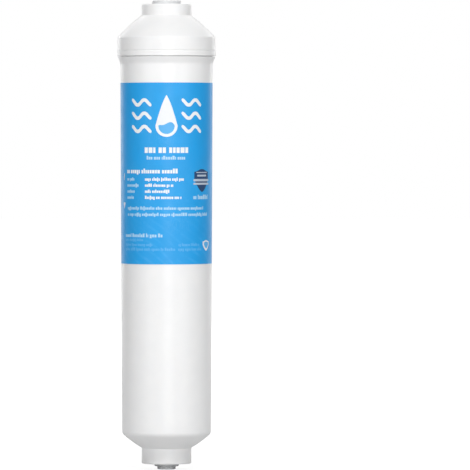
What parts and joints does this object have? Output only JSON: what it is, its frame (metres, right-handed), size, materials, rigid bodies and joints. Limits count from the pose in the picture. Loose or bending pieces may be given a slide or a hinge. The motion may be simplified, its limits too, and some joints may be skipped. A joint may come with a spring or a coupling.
{
  "type": "inline water filter cartridge",
  "caption": "Slim cylindrical water filter with a domed cap and foot, a printed wrap label, and a push-fit tube port with a sliding release collet at each end.",
  "frame": {"origin": "centre of the outlet collet's end face, the lowest point, on the flow axis", "axes": "+Z along the flow axis from the outlet to the inlet; the label's printed front faces -Y and its seam +Y"},
  "size_m": [0.0552, 0.0552, 0.2638],
  "materials": {
    "casing": "white moulded polypropylene, satin gloss",
    "label": "blue printed film, glossy",
    "port": "pale grey acetal, smooth",
    "steel": "stainless spring steel",
    "seal": "black nitrile rubber",
    "foam": "open-cell foam",
    "plate": "white moulded polypropylene",
    "screen": "white moulded polypropylene net",
    "felt": "white needled polyester felt",
    "carbon": "black granular carbon"
  },
  "bodies": {
    "housing": {"housing_body": "casing", "inlet_cap": "casing", "wrap_label": "label", "inlet_retainer_ring": "port", "inlet_spacer_washer": "port", "inlet_o_ring": "seal", "inlet_compression_pad": "foam", "inlet_sieve_plate": "plate", "inlet_mesh_screen": "screen", "inlet_felt_pad": "felt", "carbon_bed": "carbon", "outlet_felt_pad": "felt", "outlet_mesh_screen": "screen", "outlet_sieve_plate": "plate", "outlet_o_ring": "seal", "outlet_spacer_washer": "port", "outlet_retainer_ring": "port"},
    "inlet_release": {"inlet_collet": "port", "inlet_grip_teeth": "steel"},
    "outlet_release": {"outlet_collet": "port", "outlet_grip_teeth": "steel"}
  },
  "joints": [
    {"name": "inlet_collet_slide", "type": "slide", "parent": "housing", "child": "inlet_release", "axis": [0, 0, 1], "range_m": [0, 0.0017]},
    {"name": "outlet_collet_slide", "type": "slide", "parent": "housing", "child": "outlet_release", "axis": [0, 0, 1], "range_m": [0, 0.0017]}
  ]
}
